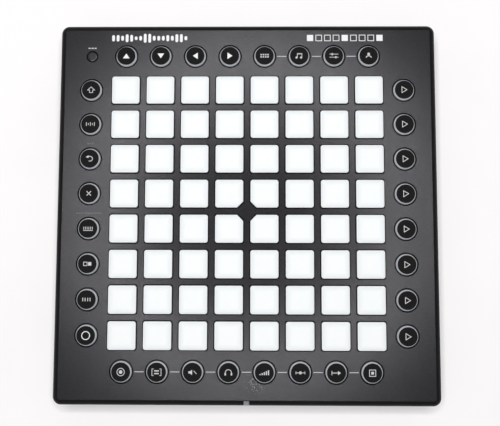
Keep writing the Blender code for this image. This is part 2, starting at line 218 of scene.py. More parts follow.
def slab_outline(wide, high, radius, cuts=(0, 0, 0, 0), centre=(0, 0), steps=6):
    """A rectangle with round or cut corners, steps + 1 points at each."""
    points = []
    for q in range(4):
        before, after = corner_turn(q)
        square = square_corner(1, q)
        tip = Vector((square.x * wide / 2 + centre[0], square.y * high / 2 + centre[1]))
        if cuts[q]:
            start, end = tip - before * cuts[q], tip + after * cuts[q]
            points += [start.lerp(end, k / steps) for k in range(steps + 1)]
        else:
            points += round_corner(tip, radius, before, after, steps)
    return points


def fillet(profile, radius, steps=3):
    """A polyline with each inner corner rounded."""
    made = [profile[0]]
    for before, tip, after in zip(profile, profile[1:], profile[2:]):
        before, tip, after = Vector(before), Vector(tip), Vector(after)
        reach = min(radius, (before - tip).length * 0.45, (after - tip).length * 0.45)
        start = tip + (before - tip).normalized() * reach
        end = tip + (after - tip).normalized() * reach
        for k in range(steps + 1):
            t = k / steps
            made.append(tuple(start * (1 - t) ** 2 + tip * 2 * t * (1 - t) + end * t**2))
    made.append(profile[-1])
    return made


# -------------------- mesh building


def shade(data):
    """Smooth over soft edges, and flat on level faces."""
    data.set_sharp_from_angle(angle=math.radians(38))
    for face in data.polygons:
        face.use_smooth = abs(face.normal.z) < 0.99999


def placed(name, data):
    """A new object in the scene."""
    made = bpy.data.objects.new(name, data)
    bpy.context.scene.collection.objects.link(made)
    return made


class Build:
    """Collects one piece's faces, in millimetres, with a material number for each."""

    def __init__(self):
        self.mesh = bmesh.new()
        self.shared = {}

    def vert(self, x, y, z):
        """A corner, shared by everything that asks for the same point."""
        key = (round(x, 4), round(y, 4), round(z, 4))
        if key not in self.shared:
            self.shared[key] = self.mesh.verts.new(Vector((x, y, z)) * MM)
        return self.shared[key]

    def loop(self, points, z, centre=(0, 0)):
        """An outline's corners at height z."""
        return [self.vert(centre[0] + p[0], centre[1] + p[1], z) for p in points]

    def face(self, verts, slot=0):
        """One face, left out if it would have no area."""
        if len(set(verts)) < 3:
            return
        distinct = [v for i, v in enumerate(verts) if v is not verts[i - 1]]
        made = self.mesh.faces.new(distinct)
        made.material_index = slot
        made.smooth = True

    def band(self, a, b, slot=0):
        """Quads between two closed loops of the same count."""
        for i in range(len(a)):
            j = (i + 1) % len(a)
            self.face([a[i], a[j], b[j], b[i]], slot)

    def stack(self, loops, slots=0):
        """A closed body over loops from bottom to top."""
        numbers = slots if isinstance(slots, list) else [slots] * (len(loops) - 1)
        for a, b, number in zip(loops, loops[1:], numbers):
            self.band(a, b, number)
        self.face(list(reversed(loops[0])), numbers[0])
        self.face(loops[-1], numbers[-1])

    def forget(self):
        """Ends sharing, so that the next body touches nothing made before."""
        self.shared = {}

    def turned(self, profile, centre, count=4 * SIDE, slots=0):
        """A body of revolution about an upright axis, from (radius, height) pairs."""
        self.forget()
        self.stack([self.loop(ring_outline(r, count), z, centre) for r, z in profile], slots)

    def upright(self, points, y, centre=(0, 0)):
        """An outline in X and Z at depth y."""
        return [self.vert(centre[0] + p[0], y, centre[1] + p[1]) for p in points]

    def lying(self, profile, centre):
        """A body of revolution about an axis along Y, from (radius, y) pairs."""
        self.forget()
        self.stack([self.upright(ring_outline(r), y, centre) for r, y in profile])

    def block(self, low, high, soft):
        """A box with softened upright edges and a small bevel at its top and bottom."""
        self.forget()
        wide, deep = high[0] - low[0], high[1] - low[1]
        centre = ((low[0] + high[0]) / 2, (low[1] + high[1]) / 2)
        levels = ((low[2], soft), (low[2] + soft, 0), (high[2] - soft, 0), (high[2], soft))
        loops = [
            self.loop(slab_outline(wide - 2 * t, deep - 2 * t, soft), z, centre) for z, t in levels
        ]
        self.stack(loops)

    def plate(self, points, z0, z1, slot=0, centre=(0, 0)):
        """A flat shape with upright sides."""
        self.forget()
        self.stack([self.loop(points, z, centre) for z in (z0, z1)], slot)

    def annulus(self, outer, inner, z0, z1, slot=0, centre=(0, 0)):
        """A flat shape with a hole of the same count."""
        self.forget()
        a, b = self.loop(outer, z0, centre), self.loop(outer, z1, centre)
        c, d = self.loop(inner, z1, centre), self.loop(inner, z0, centre)
        for one, two in ((a, b), (b, c), (c, d), (d, a)):
            self.band(one, two, slot)

    def finish(self, name):
        """Ends the mesh and puts it in the scene."""
        bmesh.ops.recalc_face_normals(self.mesh, faces=self.mesh.faces)
        data = bpy.data.meshes.new(name)
        self.mesh.to_mesh(data)
        self.mesh.free()
        return placed(name, data)

    def piece(self, name, body, *materials, slot=None, replaces=()):
        """A visible piece that rides on its body."""
        made = self.finish(name)
        shade(made.data)
        for material in materials:
            made.data.materials.append(material)
        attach(made, body)
        if replaces:
            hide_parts(*replaces)
        return made


def apply_boolean(piece, tool, operation="DIFFERENCE"):
    """Cuts or joins at once, then removes the tool."""
    step = piece.modifiers.new("cut", "BOOLEAN")
    step.object = tool
    step.operation = operation
    step.solver = "EXACT"
    bpy.context.view_layer.update()
    made = bpy.data.meshes.new_from_object(
        piece.evaluated_get(bpy.context.evaluated_depsgraph_get())
    )
    piece.modifiers.clear()
    old = piece.data
    piece.data = made
    made.name = old.name
    bpy.data.meshes.remove(old)
    bpy.data.objects.remove(tool)
    shade(made)


# -------------------- materials


class Paint:
    """A node material around one Principled shader."""

    def __init__(self, name, **values):
        self.material = bpy.data.materials.new(name)
        self.material.use_nodes = True
        self.tree = self.material.node_tree
        self.shader = self.tree.nodes["Principled BSDF"]
        for key, value in values.items():
            self.shader.inputs[key.replace("_", " ")].default_value = value
        self.place = self.node("ShaderNodeTexCoord").outputs["Object"]

    def node(self, kind, inputs=None, **settings):
        """A node with its settings and inputs, each input a value or another node's output."""
        made = self.tree.nodes.new(kind)
        for key, value in settings.items():
            setattr(made, key, value)
        for key, value in (inputs or {}).items():
            if isinstance(value, bpy.types.NodeSocket):
                self.tree.links.new(value, made.inputs[key])
            else:
                made.inputs[key].default_value = value
        return made

    def noise(self, size, detail=3.0, rough=0.55, stretch=None):
        """Noise with features of about size millimetres."""
        place = self.place
        if stretch:
            place = self.node(
                "ShaderNodeVectorMath", {0: place, 1: stretch}, operation="MULTIPLY"
            ).outputs[0]
        made = self.node(
            "ShaderNodeTexNoise",
            {"Vector": place, "Scale": 1 / (size * MM), "Detail": detail, "Roughness": rough},
        )
        return made.outputs["Fac"]

    def math(self, operation, a, b=0.0):
        """One Math node."""
        return self.node("ShaderNodeMath", {0: a, 1: b}, operation=operation).outputs[0]

    def span(self, value, low, high, to_low=0.0, to_high=1.0, smooth=False):
        """Map Range."""
        made = self.node(
            "ShaderNodeMapRange",
            {"Value": value, 1: low, 2: high, 3: to_low, 4: to_high},
            interpolation_type="SMOOTHSTEP" if smooth else "LINEAR",
        )
        return made.outputs[0]

    def spread(self, noise, to_low=0.0, to_high=1.0):
        """Noise from its usual range to another one."""
        return self.span(noise, 0.3, 0.7, to_low, to_high)

    def mix(self, factor, a, b):
        """Two colours mixed."""
        made = self.node("ShaderNodeMix", {0: factor}, data_type="RGBA")
        for number, value in ((6, a), (7, b)):
            if isinstance(value, bpy.types.NodeSocket):
                self.tree.links.new(value, made.inputs[number])
            else:
                made.inputs[number].default_value = (*value, 1)
        return made.outputs[2]

    def axis(self, number):
        """One coordinate of the place, in millimetres."""
        split = self.node("ShaderNodeSeparateXYZ", {0: self.place})
        return self.math("MULTIPLY", split.outputs[number], 1 / MM)

    def set(self, name, value):
        """Links a value into the shader."""
        self.tree.links.new(value, self.shader.inputs[name])

    def bump(self, height, depth):
        """Bump of about depth millimetres."""
        made = self.node("ShaderNodeBump", {"Height": height, "Distance": depth * MM, "Strength": 1.0})
        self.tree.links.new(made.outputs[0], self.shader.inputs["Normal"])


def moulded(name, dark, light, rough, grain, depth, **values):
    """Moulded plastic: fine grain in its bump, slow mottling in its colour and gloss."""
    paint = Paint(name, **values)
    mottle = paint.noise(18, 4)
    fine = paint.noise(grain, 2)
    paint.set("Base Color", paint.mix(paint.spread(mottle), dark, light))
    gloss = paint.math("ADD", paint.spread(mottle, *rough), paint.spread(fine, -0.03, 0.03))
    paint.set("Roughness", gloss)
    paint.bump(fine, depth)
    return paint.material


def face_paint():
    """The satin face: fine streaks and grain, faint wipe marks, and a little dust near the front edge."""
    paint = Paint("face_satin", Specular_IOR_Level=0.22, Specular_Tint=(1.0, 0.98, 1.03, 1.0))
    mottle = paint.noise(30, 5)
    wipe = paint.noise(14, 3, stretch=(1.0, 0.25, 1.0))
    grain = paint.noise(0.35, 2)
    weave = paint.noise(0.9, 2, stretch=(0.35, 1.0, 1.0))
    pale = paint.math("ADD", paint.spread(mottle, 0.0, 0.4), paint.spread(weave, 0.0, 0.6))
    base = paint.mix(pale, (0.0095, 0.0095, 0.0109), (0.020, 0.020, 0.0216))
    speck = paint.node(
        "ShaderNodeTexVoronoi", {"Vector": paint.place, "Scale": 1 / (1.15 * MM)}
    )
    small = paint.math("LESS_THAN", speck.outputs["Distance"], 0.28)
    chosen = paint.node("ShaderNodeSeparateColor", {0: speck.outputs["Color"]}).outputs[0]
    kept = paint.math("MULTIPLY", small, paint.math("GREATER_THAN", chosen, 0.35))
    away = [paint.math("SUBTRACT", paint.axis(number), DUST[number]) for number in (0, 1)]
    far = paint.math("SQRT", paint.math("ADD", *[paint.math("MULTIPLY", a, a) for a in away]))
    dust = paint.math("MULTIPLY", kept, paint.span(far, 9.0, 2.0, 0.0, 0.55))
    paint.set("Base Color", paint.mix(dust, base, (0.5, 0.5, 0.48)))
    pebble = paint.spread(paint.noise(1.3, 2, 0.7), -0.02, 0.02)
    paint.set("Roughness", paint.math("ADD", paint.spread(wipe, 0.225, 0.25), pebble))
    paint.bump(grain, 0.02)
    return paint.material


def cell_distance(paint):
    """How far out a point lies from the middle of its grid cell, along X or Y, in millimetres."""
    parts = []
    for number in (0, 1):
        cells = paint.math("MULTIPLY", paint.axis(number), 1 / PITCH)
        step = paint.math("FRACT", paint.math("ADD", cells, 64.0))
        parts.append(paint.math("ABSOLUTE", paint.math("SUBTRACT", step, 0.5)))
    return paint.math("MULTIPLY", paint.math("MAXIMUM", *parts), PITCH)


def pad_paint():
    """Milky silicone: brightest in the middle, cooler and greyer towards each pad's edge as painted
    shade, with a painted shade line where the top rounds over and a painted highlight on the rounded
    edge.
    """
    paint = Paint(
        "pad_silicone", IOR=1.41, Subsurface_Weight=0.25, Subsurface_Scale=0.002,
        Subsurface_Radius=(1.0, 1.0, 1.0),
    )
    out = cell_distance(paint)
    cloud = paint.noise(9, 3)
    # Painted shade: towards each pad's edge the colour turns greyer and bluer.
    edge = paint.span(out, 5.0, 9.0, smooth=True)
    # Painted shade: a faint darker line where the pad's top starts to round over.
    shade_line = paint.math("MULTIPLY", paint.span(out, 8.45, 8.65), paint.span(out, 8.95, 8.75))
    # Painted highlight: a pale band along the rounded edge itself.
    rim = paint.span(out, 8.9, 9.3, smooth=True)
    milk = paint.mix(paint.spread(cloud), (0.845, 0.87, 0.875), (0.875, 0.89, 0.895))
    edge_shaded = paint.mix(edge, milk, (0.76, 0.80, 0.815))
    shade_lined = paint.mix(paint.math("MULTIPLY", shade_line, 0.3), edge_shaded, (0.61, 0.645, 0.66))
    paint.set("Base Color", paint.mix(rim, shade_lined, (0.90, 0.915, 0.915)))
    paint.set("Roughness", paint.spread(cloud, 0.42, 0.5))
    paint.bump(paint.noise(0.25, 2), 0.01)
    return paint.material


def skirt_paint():
    """The clear grey silicone of a button's side."""
    paint = Paint("button_silicone", IOR=1.41, Subsurface_Weight=0.2, Subsurface_Scale=0.001)
    cloud = paint.noise(3, 3)
    paint.set("Base Color", paint.mix(paint.spread(cloud), (0.55, 0.57, 0.61), (0.62, 0.64, 0.68)))
    paint.set("Roughness", paint.spread(cloud, 0.38, 0.48))
    paint.bump(paint.noise(0.3, 2), 0.01)
    return paint.material


def print_paint(name, colour):
    """Screen-printed ink with slightly uneven cover."""
    paint = Paint(name, Roughness=0.55)
    cover = paint.noise(0.5, 3)
    dim = tuple(c * 0.86 for c in colour)
    paint.set("Base Color", paint.mix(paint.span(cover, 0.35, 0.6), dim, colour))
    paint.set("Roughness", paint.spread(cover, 0.5, 0.62))
    return paint.material


def board_paint(board_top, board_under):
    """Green board with tracks, pale LEDs on top and black chips below, told apart by height."""
    paint = Paint("board_green", Roughness=0.4)
    height = paint.axis(2)
    track = paint.node(
        "ShaderNodeTexBrick",
        {"Vector": paint.place, "Scale": 1 / (9.0 * MM), "Mortar Size": 0.03,
         "Color1": (0.012, 0.10, 0.035, 1), "Color2": (0.015, 0.12, 0.045, 1),
         "Mortar": (0.03, 0.2, 0.08, 1)},
    )
    high = paint.math("GREATER_THAN", height, board_top + 0.02)
    lit = paint.mix(high, track.outputs[0], (0.85, 0.83, 0.7))
    low = paint.math("LESS_THAN", height, board_under - 0.02)
    paint.set("Base Color", paint.mix(low, lit, (0.015, 0.015, 0.017)))
    paint.set("Roughness", paint.spread(paint.noise(4, 2), 0.3, 0.45))
    return paint.material


def film_paint():
    """Amber polyester film with a printed sensor square under each pad."""
    paint = Paint("film_amber", Roughness=0.3)
    inside = paint.math("LESS_THAN", cell_distance(paint), 8.0)
    cloud = paint.spread(paint.noise(12, 3))
    amber = paint.mix(cloud, (0.62, 0.45, 0.16), (0.7, 0.52, 0.2))
    paint.set("Base Color", paint.mix(inside, amber, (0.05, 0.05, 0.055)))
    paint.set("Roughness", paint.span(cloud, 0, 1, 0.25, 0.35))
    return paint.material


def metal_paint(name, colour, rough, stretch=(1, 1, 1)):
    """Plated metal with fine drawn lines."""
    paint = Paint(name, Metallic=1.0)
    lines = paint.noise(0.6, 4, stretch=stretch)
    dark = tuple(c * 0.85 for c in colour)
    paint.set("Base Color", paint.mix(paint.spread(lines), dark, colour))
    paint.set("Roughness", paint.spread(lines, rough - 0.06, rough + 0.06))
    paint.bump(lines, 0.004)
    return paint.material


def guide_paint():
    """Clear acrylic, frosted in the middle and darker towards its ends."""
    paint = Paint("guide_acrylic", IOR=1.49, Transmission_Weight=0.35)
    frost = paint.noise(0.8, 3)
    pale = paint.mix(paint.spread(frost), (0.33, 0.34, 0.37), (0.42, 0.43, 0.46))
    ends = paint.span(paint.math("ABSOLUTE", paint.axis(0)), 1.3, 2.2, smooth=True)
    paint.set("Base Color", paint.mix(ends, pale, (0.07, 0.07, 0.08)))
    paint.set("Roughness", paint.spread(frost, 0.25, 0.4))
    return paint.material


# -------------------- the upper case


def four(out):
    """A place in each corner."""
    return [(x, y) for x in (-out, out) for y in (-out, out)]


def posts():
    """Where posts hold the board, near its edge and in the middle, and their radius."""
    out = POST_OUT
    edge = [((x, y), POST_R) for x in (-out, 0, out) for y in (-out, 0, out) if x or y]
    return edge + [((0, 0), CENTRE_POST_R)]


def key_cells():
    """Each cell of the face: its middle, and its hole's kind."""
    xs = [-RING] + COLUMNS + [RING]
    cells = []
    for y in [RING] + ROWS + [-RING]:
        for x in xs:
            edge_x, edge_y = abs(x) > RING - 1, abs(y) > RING - 1
            if edge_x and edge_y:
                kind = "setup" if x < 0 < y else "plain"
            else:
                kind = "round" if edge_x or edge_y else "pad"
            cells.append(((x, y), kind))
    return cells


def pad_cuts(centre, grow=0.0):
    """The middle four pads lose the corner that faces the middle of the face."""
    cuts = []
    for q in range(4):
        tip = square_corner(1, q)
        inner = max(abs(centre[0]), abs(centre[1])) < PITCH
        facing = tip.x * centre[0] < 0 and tip.y * centre[1] < 0
        cuts.append(PAD_CUT + grow if inner and facing else 0)
    return cuts


def hole_outline(kind, centre, grow):
    """A key hole's outline, let out by grow."""
    if kind == "pad":
        half = PAD_HALF + PAD_GAP + grow
        return outline(half, PAD_R + grow, pad_cuts(centre, CUT_GROWTH * grow))
    radius = BUTTON_R + BUTTON_GAP if kind == "round" else SETUP_R + SETUP_GAP
    return ring_outline(radius + grow)


def edge_outline(half, radius):
    """The case's outline with as many points as the block of cells has along its sides."""
    return outline(half, radius, side=SIDE * CELLS, arc=EDGE_ARC)


def upper_case(face, body):
    """Face with bevelled key holes, the two-part bevel, walls, and the columns inside."""
    build = Build()
    top, under = FACE_TOP, FACE_UNDER
    square = square_outline(PITCH / 2)
    for centre, kind in key_cells():
        rim_top = build.loop(square, top, centre)
        rim_under = build.loop(square, under, centre)
        if kind == "plain":
            build.face(rim_top, 0)
            build.face(rim_under, 1)
            continue
        soft = HOLE_EDGE * 0.3
        rings = [(HOLE_EDGE, top), (soft, top - soft), (0, top - HOLE_EDGE), (0, under)]
        loops = [build.loop(hole_outline(kind, centre, grow), z, centre) for grow, z in rings]
        build.band(rim_top, loops[0], 0)
        for number, (a, b) in enumerate(zip(loops, loops[1:])):
            build.band(a, b, 0 if number == 0 else 1)
        build.band(loops[-1], rim_under, 1)
    block = square_outline(PITCH * CELLS / 2, SIDE * CELLS)
    face_half = CASE_HALF - BEVEL_WIDTH
    wall_in = CASE_HALF - WALL
    profile = [
        (face_half - 1.0, top),
        (face_half, top),
        (CASE_HALF - BEVEL_BREAK * BEVEL_WIDTH, top - BREAK_DEPTH),
        (CASE_HALF, top - BEVEL_DEPTH),
        (CASE_HALF, SPLIT_Z + SEAM),
        (wall_in, SPLIT_Z + SEAM),
        (wall_in, under),
        (wall_in - 2.0, under),
    ]
    loops = [build.loop(block, top)]
    for half, z in fillet(profile, 0.45):
        inset = CASE_HALF - half
        radius = max(CORNER_R - inset, 0.8)
        loops.append(build.loop(edge_outline(half, radius), z))
    loops.append(build.loop(block, under))
    for number, (a, b) in enumerate(zip(loops, loops[1:])):
        build.band(a, b, 0 if number < 3 else 1)
    reach = under - 0.02
    boss = [[p * radius for p in ring_outline(1)] for radius in (UPPER_BOSS_R, PILOT_R)]
    for place in four(SCREW_OUT):
        build.annulus(*boss, UPPER_BOSS_FOOT, reach, 1, place)
    for place, radius in posts():
        build.turned([(radius, UPPER_POST_FOOT), (radius, reach)], place, slots=1)
    made = build.piece("top_case_skin", "case", face, body, slot="shell", replaces=["top_case"])
    tools = Build()
    low, high = node_span("status_light_guide")
    right, left = high.x + 0.12, low.x - 0.12
    front, back = low.y - 2, -CASE_HALF + BEVEL_WIDTH + 0.1
    notch = [Vector(p) for p in ((right, front), (right, back), (left, back), (left, front))]
    tools.plate(notch, SPLIT_Z - 1, top + 1)
    apply_boolean(made, tools.finish("light_notch"))
    return made


# -------------------- keys


def pad_rows(paint, mask_and_shade):
    """Eight soft-edged pads in each row, with dark masked sides that flare below the face, on a dark
    strip; the dark sides and strip also serve as painted shade in the gaps round the pads.
    """
    for number, y in enumerate(ROWS):
        name = f"pad_row_{number + 1}"
        low = node_span(name)[0]
        build = Build()
        for x in COLUMNS:
            build.forget()
            centre = (x, y)
            profile = [
                (1.1, low.z),
                (1.1, low.z + 0.35),
                (0.25, low.z + 1.2),
                (0.0, low.z + 1.6),
                (-0.02, KEY_TOP - 0.7),
                (-0.09, KEY_TOP - 0.4),
                (-0.26, KEY_TOP - 0.17),
                (-0.5, KEY_TOP - 0.06),
                (-0.85, KEY_TOP - 0.02),
                (-1.8, KEY_TOP - 0.005),
                (-5.5, KEY_TOP),
            ]
            loops = []
            for grow, z in profile:
                radius = max(PAD_R + grow * 0.6, 0.5)
                points = outline(PAD_HALF + grow, radius, pad_cuts(centre, CUT_GROWTH * grow))
                loops.append(build.loop(points, z, centre))
            # The lower sides are dark: a mask, and painted shade in the gaps round the pads.
            build.stack(loops, [1] * 4 + [0] * (len(loops) - 5))
        build.forget()
        reach, deep = COLUMNS[-1] + PAD_HALF / 2, 5.0
        strip = [Vector((a * reach, b * deep)) for a, b in ((1, 1), (-1, 1), (-1, -1), (1, -1))]
        build.plate(strip, low.z + 0.2, low.z + 1.0, 1, (0, y))
        build.piece(f"{name}_skin", name, paint, mask_and_shade, slot="white_silicone", replaces=[name])


def stroke(points, width, closed=False):
    """A thin line of the given width as one or two outlines around its points."""
    points = [Vector(p) for p in points]
    sides = ([], [])
    count = len(points)
    for i, point in enumerate(points):
        before = points[i - 1] if closed or i else None
        after = points[(i + 1) % count] if closed or i + 1 < count else None
        a = (point - before).normalized() if before is not None else (after - point).normalized()
        b = (after - point).normalized() if after is not None else a
        normal = Vector((-(a + b).y, (a + b).x)).normalized()
        reach = width / 2 / max(normal.dot(Vector((-a.y, a.x))), 0.3)
        sides[0].append(point + normal * reach)
        sides[1].append(point - normal * reach)
    return sides


def arc_points(radius, start, end, count=16, centre=(0, 0)):
    """Points on an arc, angles in degrees."""
    return [
        Vector(centre) + radius * Vector((math.cos(math.radians(a)), math.sin(math.radians(a))))
        for a in (start + (end - start) * k / count for k in range(count + 1))
    ]


def rectangle(x, y, wide, high):
    """A rectangle's corners around (x, y), anticlockwise from the +X+Y one."""
    turns = ((1, 1), (-1, 1), (-1, -1), (1, -1))
    return [(x + a * wide / 2, y + b * high / 2) for a, b in turns]


class Glyph:
    """A flat printed mark, drawn around one point at one height."""

    def __init__(self, build, centre, z0, z1, slot):
        self.build, self.centre = build, centre
        self.z0, self.z1, self.slot = z0, z1, slot

    def fill(self, points):
        self.build.plate([Vector(p) for p in points], self.z0, self.z1, self.slot, self.centre)

    def line(self, points, width=0.5):
        left, right = stroke(points, width)
        self.fill(right + left[::-1])

    def outline(self, points, width=0.5):
        left, right = stroke(points, width, closed=True)
        self.build.annulus(right, left, self.z0, self.z1, self.slot, self.centre)

    def bar(self, x, y, wide, high):
        self.fill(rectangle(x, y, wide, high))

    def dot(self, x, y, radius, count=20):
        self.fill([p + Vector((x, y)) for p in ring_outline(radius, count)])

    def ring(self, x, y, radius, width, count=32):
        self.outline([p + Vector((x, y)) for p in ring_outline(radius, count)], width)

    def box(self, x, y, wide, high, width=LINE_WIDE):
        self.outline(rectangle(x, y, wide, high), width)


def arrow(glyph, turns):
    """A filled triangle, pointing up before its quarter turns."""
    angle = math.radians(90 * turns)
    points = [Vector((0, 1.75)), Vector((-2.35, -1.75)), Vector((2.35, -1.75))]
    glyph.fill([(p.x * math.cos(angle) - p.y * math.sin(angle),
                 p.x * math.sin(angle) + p.y * math.cos(angle)) for p in points])


def play(glyph):
    glyph.outline([(2.0, 0), (-1.5, 2.1), (-1.5, -2.1)], 0.32)


def record_ring(glyph):
    glyph.ring(0, 0, 2.7, 0.55, 40)


def clip_grid(glyph):
    for x in (-2.4, -0.8, 0.8, 2.4):
        for y in (-0.8, 0.8):
            glyph.bar(x, y, 1.0, 1.0)


def note(glyph):
    for x in (-1.5, 1.7):
        glyph.dot(x - 0.4, -1.3, 0.75)
        glyph.bar(x + 0.15, 0.2, 0.42, 2.8)
    glyph.bar(0.25, 1.4, 3.6, 0.7)


def sliders(glyph):
    for y, x in ((1.1, -1.2), (-1.1, 1.3)):
        glyph.bar(0, y, 6.2, 0.42)
        glyph.bar(x, y, 1.0, 1.5)


def person(glyph):
    glyph.dot(0, 1.2, 0.95)
    glyph.line(arc_points(2.0, 20, 160, 12, (0, -2.1)), 0.6)


def shift_arrow(glyph):
    stem = [(-1.1, -0.1), (-1.1, -1.9), (1.1, -1.9), (1.1, -0.1)]
    glyph.outline([(0, 2.1), (-2.4, -0.1)] + stem + [(2.4, -0.1)], 0.42)


def ticks(glyph):
    for i in range(5):
        glyph.bar(-2.8 + 1.4 * i, 0, 0.45, 2.6 if i % 2 == 0 else 1.3)


def undo_arrow(glyph):
    glyph.line(arc_points(1.7, -120, 130, 18, (0.3, -0.1)), 0.5)
    glyph.fill([(-2.7, 1.2), (-0.9, 0.3), (-0.6, 2.3)])


def cross(glyph):
    glyph.line([(-1.5, -1.5), (1.5, 1.5)], 0.55)
    for a, b in (((-1.5, 1.5), (-0.25, 0.25)), ((0.25, -0.25), (1.5, -1.5))):
        glyph.line([a, b], 0.55)


def steps(glyph):
    for i in range(6):
        glyph.bar(-3.0 + 1.2 * i, 0.2, 0.42, 2.0)
    glyph.bar(0, -1.4, 6.6, 0.4)


def copies(glyph):
    glyph.box(-1.3, 0.0, 2.4, 2.4)
    glyph.bar(1.7, 0.0, 2.2, 2.4)


def doubled(glyph):
    for x in (-2.5, -0.9, 0.9, 2.5):
        glyph.bar(x, 0, 0.55, 2.4)


def armed(glyph):
    glyph.ring(0, 0, 2.5, 0.45)
    glyph.dot(0, 0, 1.2, 24)


def brackets(glyph):
    for side in (-1, 1):
        glyph.line([(side * 2.0, 2.2), (side * 3.1, 2.2), (side * 3.1, -2.2), (side * 2.0, -2.2)], 0.42)
    for y in (0.9, -0.9):
        glyph.bar(0, y, 3.2, 0.8)


def muted(glyph):
    glyph.fill([(-0.2, 1.8), (-1.6, 0.7), (-2.7, 0.7), (-2.7, -0.7), (-1.6, -0.7), (-0.2, -1.8)])
    glyph.line([(0.9, 1.0), (2.8, -1.0)], 0.45)


def phones(glyph):
    glyph.line(arc_points(2.1, 0, 180, 16, (0, -0.2)), 0.45)
    for x in (-2.1, 2.1):
        glyph.bar(x, -1.1, 1.0, 1.7)


def levels(glyph):
    for i in range(5):
        high = 0.7 + 0.62 * i
        glyph.bar(-2.8 + 1.4 * i, -1.6 + high / 2, 0.8, high)


def pan(glyph):
    glyph.bar(0, 0, 6.0, 0.42)
    glyph.dot(0, 0, 1.0)
    for x in (-3.0, 3.0):
        glyph.bar(x, 0, 0.42, 1.8)


def send(glyph):
    glyph.bar(-0.9, 0, 4.0, 0.5)
    glyph.fill([(3.0, 0), (1.0, 1.4), (1.0, -1.4)])
    glyph.bar(-3.1, 0, 0.45, 2.8)


def stop(glyph):
    glyph.box(0, 0, 4.2, 4.2)
    glyph.bar(0, 0, 1.8, 1.8)


GLYPHS = {
    "top": [
        lambda g: arrow(g, 0), lambda g: arrow(g, 2), lambda g: arrow(g, 1), lambda g: arrow(g, 3),
        clip_grid, note, sliders, person,
    ],
    "left": [shift_arrow, ticks, undo_arrow, cross, steps, copies, doubled, record_ring],
    "right": [play] * 8,
    "bottom": [armed, brackets, muted, phones, levels, pan, send, stop],
}
BOLD = {("top", i) for i in range(4)} | {("right", i) for i in range(8)} | {("left", 7)}


def buttons(skirt, cap, bold, fine, mask_and_shade):
    """Each round button: clear flared body, black cap a hair below the top, and its mark; the foot below
    the face is dark, a mask and painted shade in the gap round the button.
    """
    for side, marks in GLYPHS.items():
        for index, draw in enumerate(marks):
            name = f"{side}_button_{index + 1}"
            low = node_span(name)[0].z
            mid = middle(name)
            centre = (mid.x, mid.y)
            build = Build()
            profile = [
                (BUTTON_R + 0.8, low),
                (BUTTON_R + 0.35, low + 1.2),
                (BUTTON_R + 0.05, low + 2.2),
                (BUTTON_R, KEY_TOP - 1.85),
                (BUTTON_R - 0.06, KEY_TOP - 1.65),
                (BUTTON_R - 0.2, KEY_TOP - 1.35),
                (CAP_R + 0.18, KEY_TOP - 0.25),
                (CAP_R + 0.08, KEY_TOP - 0.12),
                (CAP_R - 0.02, KEY_TOP - 0.08),
                (CAP_R - 0.15, KEY_TOP - 0.055),
                (CAP_R - 1.2, KEY_TOP - 0.04),
            ]
            # The three lowest bands, the foot below the face, are dark silicone: a mask, and painted
            # shade in the gap round the button.
            build.turned(profile, centre, slots=[3] * 3 + [0] * 5 + [1] * 2)
            draw(Glyph(build, centre, KEY_TOP - 0.06, KEY_TOP - 0.005, 2))
            ink = bold if (side, index) in BOLD else fine
            paints = (skirt, cap, ink, mask_and_shade)
            build.piece(f"{name}_skin", name, *paints, slot="button_black", replaces=[name])


def setup_button(face):
    """Small plain button with a soft edge."""
    name = "setup_button"
    low, high = node_span(name)
    mid = middle(name)
    build = Build()
    top = high.z - 0.2
    profile = [
        (SETUP_R + 0.8, low.z),
        (SETUP_R + 0.8, low.z + 0.7),
        (SETUP_R + 0.1, low.z + 1.0),
        (SETUP_R, low.z + 1.4),
        (SETUP_R, top - 0.3),
        (SETUP_R - 0.08, top - 0.1),
        (SETUP_R - 0.28, top),
        (SETUP_R - 1.2, top - 0.03),
    ]
    build.turned(profile, (mid.x, mid.y))
    build.piece("setup_button_skin", name, face, slot="shell", replaces=[name])


# -------------------- prints on the face


def face_prints(white, grey, faint):
    """Marks printed on the face: lines between buttons, a wave, a row of steps, small signs."""
    z0, z1 = FACE_TOP - 0.03, FACE_TOP + 0.02
    between = PITCH - 2 * (BUTTON_R + LINE_CLEAR)
    build = Build()
    for i in range(7):
        x = (COLUMNS[i] + COLUMNS[i + 1]) / 2
        for y in (-RING, RING) if i > 3 else (-RING,):
            Glyph(build, (x, y), z0, z1, 1).bar(0, 0, between, LINE_WIDE)
    mark_y = (RING + BUTTON_R + CASE_HALF - BEVEL_WIDTH) / 2
    wave = Glyph(build, (0, mark_y), z0, z1, 0)
    start, pace, count = WAVE
    for i in range(count):
        x = start + pace * i
        swell = 0.35 + 0.65 * abs(math.sin(0.55 * i + 0.4)) * (0.6 + 0.4 * math.cos(1.7 * i))
        hub = 3.7 * swell - 1.0
        wave.fill(arc_points(1.0, 0, 180, 8, (x, hub)) + arc_points(1.0, 180, 360, 8, (x, -hub)))
    row = Glyph(build, (0, mark_y), z0, z1, 0)
    start, pace, count = ROW
    for i in range(count):
        if i % 4 == 0:
            row.bar(start + pace * i, 0, 4.4, 4.4)
        else:
            row.box(start + pace * i, 0, 4.1, 4.1)
    sign = Glyph(build, (middle("setup_button").x, RING + 6.0), z0, z1, 1)
    for x in (-2.1, 0, 2.1):
        sign.bar(x, 0, 1.5, 0.8)
    for name, wide in (("left_button_3", 5.0), ("left_button_5", 19.0)):
        mid = middle(name)
        hint = Glyph(build, (mid.x, mid.y + BUTTON_R + 3.4), z0, z1, 2)
        count = int(wide / 1.6)
        for i in range(count):
            hint.bar((i - (count - 1) / 2) * 1.6, 0, 1.0, 0.8)
    build.piece("face_prints", "case", white, grey, faint)


# -------------------- the lower case


